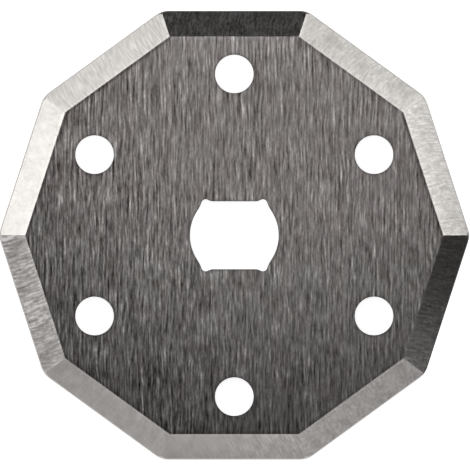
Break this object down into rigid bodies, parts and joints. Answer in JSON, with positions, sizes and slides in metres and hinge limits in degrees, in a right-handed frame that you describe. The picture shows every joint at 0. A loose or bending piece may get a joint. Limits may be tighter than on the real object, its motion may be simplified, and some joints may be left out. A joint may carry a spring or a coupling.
{
  "type": "rotary cutter blade",
  "caption": "Flat polygonal cutting blade with straight bevelled edges, a flatted drive opening and a ring of pin holes, for a rotary cutter.",
  "frame": {"origin": "centre of the drive opening, on the flat back face", "axes": "+Z out of the bevelled front face, +X towards a point of the cutting edge, along the flats of the drive opening"},
  "size_m": [0.045, 0.043, 0.001],
  "materials": {
    "ground_steel": "brushed faces, cross-ground bevels, honed edge"
  },
  "bodies": {
    "root": {"blade": "ground_steel"}
  },
  "joints": []
}
